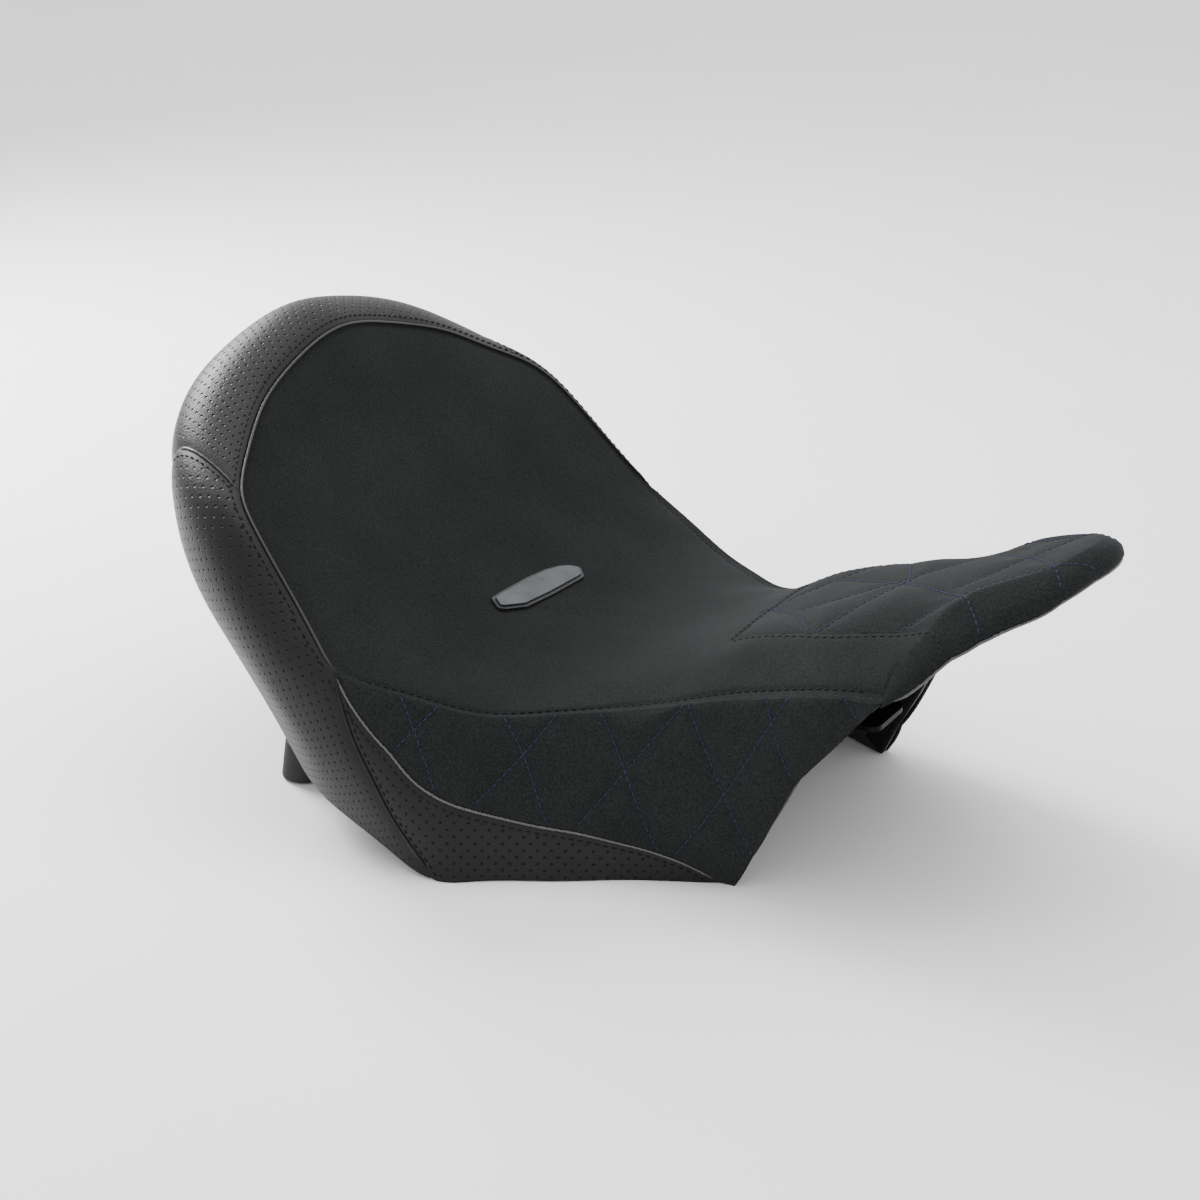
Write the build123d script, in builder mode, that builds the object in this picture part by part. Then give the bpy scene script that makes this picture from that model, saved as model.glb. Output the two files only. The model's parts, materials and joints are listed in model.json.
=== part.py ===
"""Solo motorcycle seat: a leaning backrest, a low saddle, two skirts and a narrow nose.

Millimetres, +Z up, +X towards the nose, rider's left is +Y.  The origin is on the floor, in the
middle of the seat's length and width.  The seat stands on the two skirts and on two rear feet.

The outer shape is one tub lofted through plan outlines, bounded by a side outline, a nose outline
and an arch, with the saddle surface cut from the top.  The same shape, drawn inwards by the
thickness of each layer, gives the cover, the foam and the base pan, and seam prisms divide the
cover into its sewn panels.
"""
import os
from math import atan2, cos, degrees, hypot, radians, sin

from build123d import *

os.makedirs("parts", exist_ok=True)

# ------------------------------------------------------------------ driving dimensions
COVER = 3.0                # suede or leather with its thin sewn backing
QUILT_FOAM = 5.0           # soft layer stitched behind the quilted panels
PAN = 4.0                  # wall of the moulded base pan
SKIRT_LIFT = 1.5           # cover hem above the floor, so that the pan edge takes the weight
REACH = 400.0              # longer than any side of the seat, for cutting tools

BOLT_CLEARANCE = 6.6       # rear bracket hole for an M6 bolt
BOLT_SPACING = 60.0        # rear bracket bolts, centre to centre
SHEET_STEEL = 3.0          # thickness of both steel brackets
HEM = 1.5                  # turned-in suede along the front edges of the skirts
NOSE_TRIM = 3.5            # height of the clipped edging under the nose
FOLD_BEAD = 1.2            # how far the folded leather edge stands proud

# Plan outlines, one half of each, from the front of the skirt round to the middle of the back.
PLAN_LEVELS = {
    -12: [(280, 91), (100, 91), (75, 103), (49, 118), (26, 134), (0, 151), (-25, 166), (-55, 164),
          (-93, 147), (-128, 119), (-151, 85), (-163, 44), (-167, 0)],
    50: [(280, 91), (139, 91), (105, 98), (62, 108), (33, 118), (-13, 145), (-50, 166), (-95, 167),
         (-135, 150), (-167, 122), (-187, 83), (-197, 42), (-200, 0)],
    100: [(280, 91), (160, 91), (110, 93), (70, 95), (36, 101), (-22, 137), (-71, 158), (-112, 169),
          (-157, 157), (-192, 131), (-216, 92), (-229, 47), (-233, 0)],
    180: [(280, 91), (150, 92), (100, 94), (60, 98), (12, 116), (-40, 146), (-90, 168), (-135, 171),
          (-178, 160), (-218, 132), (-245, 93), (-260, 47), (-264, 0)],
    250: [(280, 91), (150, 92), (100, 94), (60, 98), (12, 116), (-40, 146), (-90, 164), (-135, 163),
          (-175, 150), (-212, 125), (-239, 88), (-254, 45), (-258, 0)],
}

# Saddle surface: at each station along X, its height at the middle, 60, 95 and 190 mm out.
SADDLE_HALF_WIDTHS = (60, 95, 190)
SADDLE = {
    -320: (265, 265, 265, 265),
    -235: (252, 251, 250, 250),
    -202: (229, 224, 215, 200),
    -168: (181, 181, 180, 172),
    -130: (140, 141, 143, 146),
    -90: (105, 104, 103, 102),
    -71: (95, 95, 95.5, 97),
    -37: (86, 86, 86, 84),
    12: (88, 87, 84, 76),
    50: (105, 100, 89, 70),
    91: (128, 126, 102, 75),
    131: (147, 134, 112, 85),
    158: (158, 143, 117, 85),
    184: (168, 147, 120, 85),
    211: (177, 152, 124, 85),
    240: (186, 160, 128, 85),
    270: (190, 164, 130, 85),
    300: (191, 165, 130, 85),
}

# Side outline of the rolled back, the nose and the skirts (x, z), and the hem below the back.
BACK_ROLL = [(-264, 150), (-265, 196), (-260, 217), (-247, 232), (-228, 239), (-208, 245)]
NOSE_FRONT = [(266, 194), (265, 182), (260, 176)]
NOSE_UNDERSIDE = [(246, 167), (224, 152), (211, 143), (198, 133), (184, 121)]
SKIRT_FRONT = [(167, 100), (155, 86), (139, 65), (128, 42), (116, 20), (107, 0)]
REAR_HEM = [(-27, 0), (-51, 7), (-95, 22), (-144, 35), (-187, 48), (-200, 52), (-270, 60)]

# Plan outline of the shoulders and the nose, one half, and the arch of the back seen from ahead.
NOSE_PLAN = [(184, 91), (197, 72), (211, 58), (224, 52), (235, 46), (246, 38), (256, 28), (263, 14),
             (265, 0)]
ARCH = [(0, 241), (40, 236), (75, 226), (105, 210), (130, 193), (150, 170), (164, 142), (172, 110),
        (174, 70)]

# Underside of the base pan along the middle (x, z).
TUNNEL_CEILING = [(-300, 66), (-190, 65), (-120, 54), (-60, 47), (10, 47), (60, 62), (110, 84),
                  (150, 102), (180, 114)]

# Sewn seams: the top panel in plan, and the skirt seams in the side view.
TOP_SEAM = [(184, 90), (156, 91), (131, 91), (101, 92), (70, 94), (36, 98), (12, 112), (-22, 134),
            (-37, 141), (-71, 155), (-90, 161), (-106, 158), (-128, 153), (-142, 149), (-157, 143),
            (-168, 136), (-178, 118), (-185, 104), (-191, 88), (-197, 70), (-201, 37), (-203, 0)]
TOP_FLOOR = [(-205, 190), (-168, 162), (-130, 124), (-90, 88), (-50, 60)]    # below the saddle (x, z)
NOSE_PANEL_HALF = 60.0
NOSE_PANEL_REAR = 91.0
FOLD_SEAM = [(-90, 101), (-65, 71), (-47, 53), (-36, 44), (-1, 32), (36, 24), (73, 17), (94, 5),
             (103, -2)]
LOWER_SEAM = [(-90, 101), (-76, 69), (-64, 49), (-53, 31), (-41, 16), (-27, -2)]
CROSS_SEAM = [(-168, 172), (-190, 180), (-225, 190), (-290, 196)]
BACK_PANEL_HALF = 78.0

# Badge on the middle of the saddle.
BADGE_X = -71.0
BADGE_OUTLINE = [(-37, 1), (-34, 6.5), (-26, 6.8), (0, 6.2), (17, 4.6), (28, 2), (34, -1), (37, -4.5),
                 (33, -9), (28, -9.2), (1, -8.2), (-22, -6.4), (-35, -0.8)]    # (y, -x) from its middle
BADGE_RIM = 2.0            # rubber base outside the plate
BADGE_BASE_TOP = 2.4       # heights over the saddle
BADGE_PLATE_TOP = 3.6
BADGE_PIN = 1.5            # radius of a stud
BADGE_PIN_SPACING = 36.0
BADGE_PIN_DEPTH = 10.0

# Base pan ribs, rubber feet and bumpers, from the middle line out (x, y).
RIB = 2.5
RIB_DEPTH = 9.0
CROSS_RIBS = (-105, -62, 18, 62)
LONG_RIBS = (-66, -28, 28, 66)
REAR_FOOT = (-160.0, 104.0)
FOOT_HEIGHT = 22.0
FOOT_POST = 8.0
BUMPER = 10.0
MID_BUMPER = (-20.0, 80.0)
FRONT_BUMPER = (118.0, 52.0)
FRONT_BUMPER_TOP = 74.0

# Steel brackets under the pan, with their fasteners.
TONGUE_REAR = 84.0
TONGUE_TOP = 69.0
TONGUE_LENGTH = 66.0
TONGUE_WIDTH = 36.0
RIVET = 2.4
RIVET_GRIP = 7.0
RIVET_HEAD = 1.4
BRACKET_X = -150.0
BRACKET_TOP = 46.0
BRACKET_WIDTH = 112.0
BRACKET_DROP = 28.0
BRACKET_SCREW_Y = 44.0
BOLT_DROP = 17.0           # rear bolts below the top of the bracket
SCREW = 3.0
WASHER = 1.6
INSERT = 4.2
INSERT_LENGTH = 12.0

STAPLES = 5                # along each turned-in hem
STAPLE = 0.8               # wire thickness
STAPLE_CROWN = 9.0
STAPLE_RISE = (10.0, 72.0)     # heights of the lowest and past the highest
CRUMB = 150.0              # largest stray sliver, in cubic millimetres
SIDES = ((1, "left"), (-1, "right"))


# ------------------------------------------------------------------ helpers
def mirrored(half):
    """Close a half outline that ends on the middle line by mirroring it to the other side."""
    other = [(x, -y) for x, y in reversed(half) if abs(y) > 1e-6]
    return half + other


def drawn_in(loop, distance):
    """Move each point of an open outline inwards, square to the line between its neighbours."""
    moved = []
    last = len(loop) - 1
    for i, (x, y) in enumerate(loop):
        ax, ay = loop[max(i - 1, 0)]
        bx, by = loop[min(i + 1, last)]
        run = hypot(bx - ax, by - ay)
        moved.append((x + distance * (ay - by) / run, y + distance * (bx - ax) / run))
    return moved


def saddle_height(x, half_width=0):
    """Height of the saddle surface at x, on the middle line or at one of its half widths."""
    column = 0 if half_width == 0 else SADDLE_HALF_WIDTHS.index(half_width) + 1
    stations = sorted(SADDLE)
    for a, b in zip(stations, stations[1:]):
        if a <= x <= b:
            share = (x - a) / (b - a)
            return SADDLE[a][column] * (1 - share) + SADDLE[b][column] * share


def ceiling_height(x):
    """Height of the pan's underside along the middle at x."""
    for (xa, za), (xb, zb) in zip(TUNNEL_CEILING, TUNNEL_CEILING[1:]):
        if xa <= x <= xb:
            return za + (zb - za) * (x - xa) / (xb - xa)


def tub(inset):
    """The lofted tub of walls, drawn inwards by inset all round."""
    with BuildPart() as solid:
        for height, half in PLAN_LEVELS.items():
            loop = drawn_in(mirrored(half), inset)
            with BuildSketch(Plane.XY.offset(height)):
                with BuildLine():
                    rim = Spline(*loop)
                    Line(rim @ 1, rim @ 0)
                make_face()
        loft()
    return solid.part


def saddle_tool(drop):
    """Everything above the saddle surface, which is lowered by drop."""
    with BuildPart() as tool:
        for x, (middle, inner, outer, far) in SADDLE.items():
            heights = [(-190, far), (-95, outer), (-60, inner), (0, middle), (60, inner), (95, outer),
                       (190, far)]
            with BuildSketch(Plane.YZ.offset(x)):
                with BuildLine():
                    crown = Spline(*[(y, z - drop) for y, z in heights])
                    Polyline(crown @ 1, (190, 320), (-190, 320), crown @ 0)
                make_face()
        loft()
    return tool.part


def slab(plane, outline, inset=0.0, depth=REACH):
    """A prism through the whole seat, on a plane, from a polygon drawn inwards by inset."""
    with BuildPart() as prism:
        with BuildSketch(plane):
            with BuildLine():
                Polyline(*outline, close=True)
            make_face()
            if inset:
                offset(amount=-inset, kind=Kind.INTERSECTION)
        extrude(amount=depth, both=True)
    return prism.part


def envelope(inset, open_below):
    """The seat's solid shape, drawn inwards by inset, with its hem or running on below the floor."""
    above = [(-208, 330), (300, 330), (300, 200)]
    if open_below:
        side = [(-264, -60), *BACK_ROLL, *above, NOSE_FRONT[0], (265, -60)]
    else:
        side = [(-280, 61), (-280, 140), *BACK_ROLL, *above, *NOSE_FRONT, *NOSE_UNDERSIDE,
                *SKIRT_FRONT, *REAR_HEM]
    nose = mirrored([(-320, 220), (184, 220), *NOSE_PLAN])
    arch = mirrored([(-60, 174), *[(z, y) for y, z in reversed(ARCH)]])
    arch = [(y, z) for z, y in arch]
    with BuildPart() as solid:
        add(tub(inset))
        add(slab(Plane.XZ, side, inset if open_below else 0.0), mode=Mode.INTERSECT)
        add(slab(Plane.XY, nose, inset), mode=Mode.INTERSECT)
        add(slab(Plane.YZ, arch, inset), mode=Mode.INTERSECT)
        add(saddle_tool(inset * 1.2), mode=Mode.SUBTRACT)
    return solid.part


def half_prism(outline, side):
    """A prism from a side view outline through one half of the seat; side is -1 right, +1 left."""
    with BuildPart() as prism:
        with BuildSketch(Plane.XZ):
            with BuildLine():
                Polyline(*outline, close=True)
            make_face()
        extrude(amount=-side * REACH)
    return prism.part


def layer(base, keep=(), remove=()):
    """A sewn or moulded layer: a base shape, what it is kept inside, and what is cut away.

    Slivers that the prisms leave along a seam are dropped."""
    with BuildPart() as piece:
        add(base)
        for tool in keep:
            add(tool, mode=Mode.INTERSECT)
        for tool in remove:
            add(tool, mode=Mode.SUBTRACT)
    return Compound([solid for solid in piece.part.solids() if solid.volume > CRUMB])


def finish(name, shape):
    """Label one finished piece and write it."""
    with BuildPart() as piece:
        add(shape)
    piece.part.label = name
    export_step(piece.part, f"parts/{name}.step")
    return piece.part


# ------------------------------------------------------------------ envelopes
outer = envelope(0.0, open_below=False)
inside_cover = envelope(COVER, open_below=True)
inside_quilt = envelope(COVER + QUILT_FOAM, open_below=True)
inside_pan = tub(COVER + PAN)
inside_hem = tub(COVER + PAN + HEM)
below_hem = slab(Plane.XZ, [(-REACH, -60), (REACH, -60), (REACH, SKIRT_LIFT), (-REACH, SKIRT_LIFT)])

nose_rise = list(reversed(NOSE_UNDERSIDE)) + list(reversed(NOSE_FRONT))
pan_top = [(x, z + PAN) for x, z in TUNNEL_CEILING + nose_rise]
pan_zone = slab(Plane.XZ, [(-300, -60), *pan_top, (300, 230), (300, -60)])
void_line = TUNNEL_CEILING + [(x, z - 1.0) for x, z in nose_rise]
tunnel = slab(Plane.XZ, [(-300, -60), *void_line, (300, 210), (300, -60)])

above_saddle = slab(Plane.XZ, [(-330, 190), *TOP_FLOOR, (330, 60), (330, 330), (-330, 330)])
top_zone = layer(slab(Plane.XY, mirrored([(320, 150), (184, 150), *TOP_SEAM])), keep=[above_saddle])
nose_half = [(320, 150), (212, 150), (206, NOSE_PANEL_HALF), (NOSE_PANEL_REAR, NOSE_PANEL_HALF)]
nose_zone = slab(Plane.XY, mirrored(nose_half))
trim_line = list(reversed(NOSE_UNDERSIDE)) + [(262, 179), (300, 206)]
trim_band = slab(Plane.XZ, [*[(x, z - 6) for x, z in trim_line],
                            *[(x, z + NOSE_TRIM) for x, z in reversed(trim_line)]])
back_zone = slab(Plane.YZ, [(-BACK_PANEL_HALF, -20), (BACK_PANEL_HALF, -20), (BACK_PANEL_HALF, 188),
                            (-BACK_PANEL_HALF, 188)], depth=2 * REACH)
back_half = slab(Plane.XY, [(-330, -220), (-120, -220), (-120, 220), (-330, 220)])

side_outline = [*FOLD_SEAM, (110, -60), (330, -60), (330, 260), (-90, 260)]
lower_outline = [*FOLD_SEAM, (103, -60), (-27, -60), *reversed(LOWER_SEAM[1:])]
rim_side_outline = [*LOWER_SEAM, (-27, -60), (-330, -60), (-330, 197), *reversed(CROSS_SEAM), (-168, 260),
                    (-90, 260)]
rim_top_outline = [*CROSS_SEAM, (-330, 197), (-330, 300), (-168, 300)]

# ------------------------------------------------------------------ badge, sunk into the saddle
badge_slope = degrees(atan2(saddle_height(BADGE_X - 15) - saddle_height(BADGE_X + 15), 30))
badge_plane = Plane(origin=(BADGE_X, 0, saddle_height(BADGE_X)), x_dir=(0, 1, 0),
                    z_dir=(sin(radians(badge_slope)), 0, cos(radians(badge_slope))))


def badge_layer(grow, low, high):
    """A prism of the badge outline, grown all round, between two heights over the saddle."""
    with BuildPart() as solid:
        with BuildSketch(badge_plane.offset(low)):
            with BuildLine():
                Polyline(*BADGE_OUTLINE, close=True)
            make_face()
            if grow:
                offset(amount=grow, kind=Kind.ARC)
        extrude(amount=high - low)
    return solid.part


def badge_pins(low, high):
    """The two studs that hold the badge through the cover, between two heights over the saddle."""
    with BuildPart() as solid:
        with BuildSketch(badge_plane.offset(low)):
            with GridLocations(BADGE_PIN_SPACING, 1, 2, 1):
                Circle(BADGE_PIN)
        extrude(amount=high - low)
    return solid.part


pin_holes = badge_pins(-BADGE_PIN_DEPTH - 4, BADGE_PLATE_TOP + 2)

# ------------------------------------------------------------------ cover panels
cover = layer(outer, remove=[inside_cover, below_hem])
top_cover = layer(cover, keep=[top_zone])
wall_cover = layer(cover, remove=[top_zone])
finish("seat_panel", layer(top_cover, remove=[nose_zone, trim_band, pin_holes]))
finish("nose_panel", layer(top_cover, keep=[nose_zone], remove=[trim_band]))
finish("nose_trim", layer(top_cover, keep=[trim_band]))
finish("rim_top_panel", layer(wall_cover, keep=[slab(Plane.XZ, rim_top_outline)], remove=[back_zone]))
finish("back_panel", layer(wall_cover, keep=[back_zone, back_half]))

walls = tub(0.0)
proud_walls = tub(-FOLD_BEAD)
fold_band = [*FOLD_SEAM, *[(x + 1.4, z + 1.8) for x, z in reversed(FOLD_SEAM)]]
for side, word in SIDES:
    finish(f"side_panel_{word}", layer(wall_cover, keep=[half_prism(side_outline, side)]))
    finish(f"lower_panel_{word}", layer(wall_cover, keep=[half_prism(lower_outline, side)]))
    rim_side = layer(wall_cover, keep=[half_prism(rim_side_outline, side)], remove=[back_zone])
    finish(f"rim_side_panel_{word}", rim_side)
    bead = layer(proud_walls, keep=[half_prism(fold_band, side)], remove=[walls, below_hem])
    finish(f"fold_bead_{word}", bead)

# ------------------------------------------------------------------ badge
badge_base = layer(badge_layer(BADGE_RIM, -3.0, BADGE_BASE_TOP), remove=[outer, pin_holes])
finish("badge_base", badge_base)
finish("badge_plate", badge_layer(0.0, BADGE_BASE_TOP, BADGE_PLATE_TOP))
finish("badge_pins", badge_pins(-BADGE_PIN_DEPTH, BADGE_BASE_TOP))

# ------------------------------------------------------------------ foam
filling = layer(outer, keep=[inside_cover])
quilt_nose = layer(filling, keep=[nose_zone], remove=[pan_zone, inside_quilt])
finish("quilt_backing_nose", quilt_nose)
quilts = [quilt_nose]
for side, word in SIDES:
    quilt = layer(filling, keep=[half_prism(side_outline, side)], remove=[top_zone, pan_zone, inside_quilt])
    finish(f"quilt_backing_{word}", quilt)
    quilts.append(quilt)
finish("foam_core", layer(filling, remove=[pan_zone, pin_holes, *quilts]))


# ------------------------------------------------------------------ base pan
def post(x, y, radius, low, high):
    """Two upright cylinders, one on each side of the middle."""
    with BuildPart() as posts:
        with BuildSketch(Plane.XY.offset(low)):
            with Locations((x, y), (x, -y)):
                Circle(radius)
        extrude(amount=high - low)
    return posts.part


def rivets(radius, low, height):
    """Four upright cylinders where the tongue is riveted."""
    with BuildPart() as cylinders:
        with BuildSketch(Plane.XY.offset(low)):
            with Locations((TONGUE_REAR + 14, 0)):
                with GridLocations(14, 22, 2, 2):
                    Circle(radius)
        extrude(amount=height)
    return cylinders.part


with BuildPart() as ribs:
    for x in CROSS_RIBS:
        with BuildSketch(Plane.XY.offset(ceiling_height(x) - RIB_DEPTH)):
            with Locations((x, 0)):
                Rectangle(RIB, 360)
        extrude(amount=RIB_DEPTH + 2)
    for y in LONG_RIBS:
        with BuildSketch(Plane.XZ.offset(-y)):
            with BuildLine():
                run = [(x, z) for x, z in TUNNEL_CEILING if -190 <= x <= 150]
                Polyline(*[(x, z + 2) for x, z in run],
                         *[(x, z - RIB_DEPTH) for x, z in reversed(run)], close=True)
            make_face()
        extrude(amount=RIB / 2, both=True)
    add(inside_pan, mode=Mode.INTERSECT)

rear_ceiling = ceiling_height(BRACKET_X)
tongue_boss = slab(Plane.XZ, [(TONGUE_REAR, TONGUE_TOP), (TONGUE_REAR + 28, TONGUE_TOP),
                              (TONGUE_REAR + 28, ceiling_height(TONGUE_REAR + 28) + 1),
                              (TONGUE_REAR, ceiling_height(TONGUE_REAR) + 1)], depth=24)

with BuildPart() as hollow:
    add(inside_pan)
    add(tunnel, mode=Mode.INTERSECT)

with BuildPart() as base_pan:
    add(filling)
    add(pan_zone, mode=Mode.INTERSECT)
    add(hollow.part, mode=Mode.SUBTRACT)
    add(ribs.part)
    add(post(*REAR_FOOT, FOOT_POST, FOOT_HEIGHT, ceiling_height(REAR_FOOT[0]) + 2))
    add(post(BRACKET_X, BRACKET_SCREW_Y, 9, BRACKET_TOP, rear_ceiling + 2))
    add(post(*FRONT_BUMPER, BUMPER, FRONT_BUMPER_TOP, ceiling_height(FRONT_BUMPER[0] - BUMPER) + 2))
    add(tongue_boss)
    add(post(BRACKET_X, BRACKET_SCREW_Y, INSERT, BRACKET_TOP, BRACKET_TOP + INSERT_LENGTH),
        mode=Mode.SUBTRACT)
    add(rivets(RIVET, TONGUE_TOP, RIVET_GRIP), mode=Mode.SUBTRACT)
    add(cover, mode=Mode.SUBTRACT)
finish("base_pan", layer(base_pan.part))

# ------------------------------------------------------------------ turned-in hems and their staples
hem_line = [(x - 1.0, z + 1.0) for x, z in SKIRT_FRONT]
hem_band = [*hem_line, *[(x - 12, z + 5) for x, z in reversed(hem_line)]]
staple_layer = tub(COVER + PAN + HEM + STAPLE)
for side, word in SIDES:
    hem = layer(inside_pan, keep=[half_prism(hem_band, side), tunnel], remove=[inside_hem, below_hem])
    finish(f"skirt_hem_{word}", hem)
    staples = []
    for i in range(STAPLES):
        share = (i + 0.5) / STAPLES
        x = hem_line[-1][0] - 6 + share * 38
        z = STAPLE_RISE[0] + share * (STAPLE_RISE[1] - STAPLE_RISE[0])
        with BuildPart() as staple:
            with BuildSketch(Plane.XZ):
                with Locations((x, z)):
                    Rectangle(STAPLE_CROWN, 1.0, rotation=60)
            extrude(amount=-side * REACH)
            add(inside_hem, mode=Mode.INTERSECT)
            add(staple_layer, mode=Mode.SUBTRACT)
        staples.append(staple.part)
    finish(f"hem_staples_{word}", Compound([solid for part in staples for solid in part.solids()]))

# ------------------------------------------------------------------ rubber feet and bumpers
with BuildPart() as rear_feet:
    for y in (REAR_FOOT[1], -REAR_FOOT[1]):
        with Locations((REAR_FOOT[0], y, 0)):
            Cone(13, FOOT_POST + 2, FOOT_HEIGHT, align=(Align.CENTER, Align.CENTER, Align.MIN))
    fillet(rear_feet.faces().sort_by(Axis.Z)[:2].edges(), 1.5)
finish("rear_feet", rear_feet.part)

with BuildPart() as mid_bumpers:
    add(post(*MID_BUMPER, BUMPER, ceiling_height(MID_BUMPER[0]) - 13, ceiling_height(MID_BUMPER[0])))
    chamfer(mid_bumpers.faces().sort_by(Axis.Z)[:2].edges(), 2)
finish("mid_bumpers", mid_bumpers.part)

with BuildPart() as front_bumpers:
    add(post(*FRONT_BUMPER, BUMPER, FRONT_BUMPER_TOP - 12, FRONT_BUMPER_TOP))
    chamfer(front_bumpers.faces().sort_by(Axis.Z)[:2].edges(), 2)
finish("front_bumpers", front_bumpers.part)

# ------------------------------------------------------------------ front tongue and its rivets
with BuildPart() as front_tongue:
    with BuildSketch(Plane.XY.offset(TONGUE_TOP - SHEET_STEEL)):
        with Locations((TONGUE_REAR + TONGUE_LENGTH / 2, 0)):
            RectangleRounded(TONGUE_LENGTH, TONGUE_WIDTH, 6)
    extrude(amount=SHEET_STEEL)
    add(rivets(RIVET, TONGUE_TOP - SHEET_STEEL, SHEET_STEEL), mode=Mode.SUBTRACT)
finish("front_tongue", front_tongue.part)

with BuildPart() as tongue_rivets:
    add(rivets(RIVET, TONGUE_TOP - SHEET_STEEL, RIVET_GRIP + SHEET_STEEL))
    add(rivets(RIVET * 1.9, TONGUE_TOP - SHEET_STEEL - RIVET_HEAD, RIVET_HEAD))
finish("tongue_rivets", tongue_rivets.part)

# ------------------------------------------------------------------ rear bracket and its screws
with BuildPart() as rear_bracket:
    with BuildSketch(Plane.XZ.offset(-BRACKET_WIDTH / 2)):
        with BuildLine():
            Polyline((BRACKET_X - 18, BRACKET_TOP - BRACKET_DROP), (BRACKET_X - 18, BRACKET_TOP),
                     (BRACKET_X + 15, BRACKET_TOP), (BRACKET_X + 15, BRACKET_TOP - SHEET_STEEL),
                     (BRACKET_X - 18 + SHEET_STEEL, BRACKET_TOP - SHEET_STEEL),
                     (BRACKET_X - 18 + SHEET_STEEL, BRACKET_TOP - BRACKET_DROP), close=True)
        make_face()
    extrude(amount=BRACKET_WIDTH)
    bend = rear_bracket.edges().filter_by(Axis.Y).filter_by_position(Axis.Z, BRACKET_TOP, BRACKET_TOP)
    fillet(bend.sort_by(Axis.X)[0], 4)
    with BuildSketch(Plane.YZ.offset(BRACKET_X - 20)):
        with Locations((0, BRACKET_TOP - BOLT_DROP)):
            with GridLocations(BOLT_SPACING, 1, 2, 1):
                Circle(BOLT_CLEARANCE / 2)
    extrude(amount=8, mode=Mode.SUBTRACT)
    add(post(BRACKET_X, BRACKET_SCREW_Y, BOLT_CLEARANCE / 2, BRACKET_TOP - 5, BRACKET_TOP + 1),
        mode=Mode.SUBTRACT)
finish("rear_bracket", rear_bracket.part)

washer_low = BRACKET_TOP - SHEET_STEEL - WASHER
with BuildPart() as bracket_washers:
    add(post(BRACKET_X, BRACKET_SCREW_Y, 6, washer_low, washer_low + WASHER))
    add(post(BRACKET_X, BRACKET_SCREW_Y, 3.2, washer_low, washer_low + WASHER), mode=Mode.SUBTRACT)
finish("bracket_washers", bracket_washers.part)

with BuildPart() as bracket_screws:
    with BuildSketch(Plane.XY.offset(washer_low)):
        with Locations((BRACKET_X, BRACKET_SCREW_Y), (BRACKET_X, -BRACKET_SCREW_Y)):
            RegularPolygon(5.0, 6, major_radius=False)
    extrude(amount=-4)
    add(post(BRACKET_X, BRACKET_SCREW_Y, SCREW, washer_low, BRACKET_TOP + INSERT_LENGTH - 1))
finish("bracket_screws", bracket_screws.part)

with BuildPart() as threaded_inserts:
    add(post(BRACKET_X, BRACKET_SCREW_Y, INSERT, BRACKET_TOP, BRACKET_TOP + INSERT_LENGTH))
    add(post(BRACKET_X, BRACKET_SCREW_Y, SCREW + 0.05, BRACKET_TOP, BRACKET_TOP + INSERT_LENGTH),
        mode=Mode.SUBTRACT)
finish("threaded_inserts", threaded_inserts.part)
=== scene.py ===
"""Looks of the solo seat: suede saddle and back, quilted nose and sides, perforated leather rim, badge.

The cover is one master surface, a top sheet and a band of walls, that is shaped in millimetres,
puffed up between its seams, and then cut along the seams into the panels that are sewn together.
"""

import json
import math

import bpy
import numpy as np
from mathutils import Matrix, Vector
from mathutils.bvhtree import BVHTree


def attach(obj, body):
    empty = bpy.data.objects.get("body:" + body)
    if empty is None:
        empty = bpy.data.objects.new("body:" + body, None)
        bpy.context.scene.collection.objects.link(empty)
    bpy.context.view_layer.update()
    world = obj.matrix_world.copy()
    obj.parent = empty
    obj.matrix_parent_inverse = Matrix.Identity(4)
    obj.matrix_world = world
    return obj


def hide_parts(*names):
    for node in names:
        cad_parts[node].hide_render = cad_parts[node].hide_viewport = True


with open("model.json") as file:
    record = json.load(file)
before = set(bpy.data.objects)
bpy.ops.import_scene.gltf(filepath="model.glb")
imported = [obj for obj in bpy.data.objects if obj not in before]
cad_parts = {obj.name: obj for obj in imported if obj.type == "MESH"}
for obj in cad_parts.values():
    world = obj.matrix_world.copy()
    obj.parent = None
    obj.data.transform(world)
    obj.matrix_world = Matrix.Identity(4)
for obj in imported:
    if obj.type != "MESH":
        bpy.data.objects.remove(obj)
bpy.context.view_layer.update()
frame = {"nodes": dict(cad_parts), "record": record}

# ------------------------------------------------------------------ shape, in mm, for the left half

# Edge of the nose from its tip to the shoulder: top edge, roll, widest point and lower edge.
NOSE = [
    ((255, 0, 187), (261, 0, 185.5), (264.5, 0, 182), (264.5, 0, 179), (262.5, 0, 177)),
    ((252, 13, 186), (258, 15, 184.5), (261.5, 17, 180.5), (261.5, 17.5, 177), (259, 17, 175)),
    ((244, 25, 182), (250, 29, 179.5), (254.5, 31, 175.5), (254.5, 31, 172), (252, 30, 170)),
    ((232, 33, 176.5), (240, 38, 173), (245.5, 41, 168.5), (245.5, 41, 165), (243, 39, 163)),
    ((217, 39, 170), (225, 46, 165.5), (230.5, 50, 160.5), (231, 50, 157), (228.5, 48.5, 155)),
    ((203, 46, 162), (211, 53, 156), (217, 57, 150), (217, 57, 147), (214.5, 56, 145)),
    ((195, 56, 152), (201, 62, 147.5), (206, 66, 142), (206, 66.5, 139), (204, 65, 137)),
    ((189, 68, 141), (193, 73, 137.5), (198, 77, 132.5), (198, 78, 130), (196, 77, 128)),
    ((184, 80, 131), (186, 83, 128.5), (190, 86, 125), (190, 87, 122.5), (188, 86, 121)),
    ((184, 91, 121), (184.5, 91.5, 120.3), (185, 92, 119.6), (184.6, 91.8, 118.8), (184, 91, 118)),
]
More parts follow.
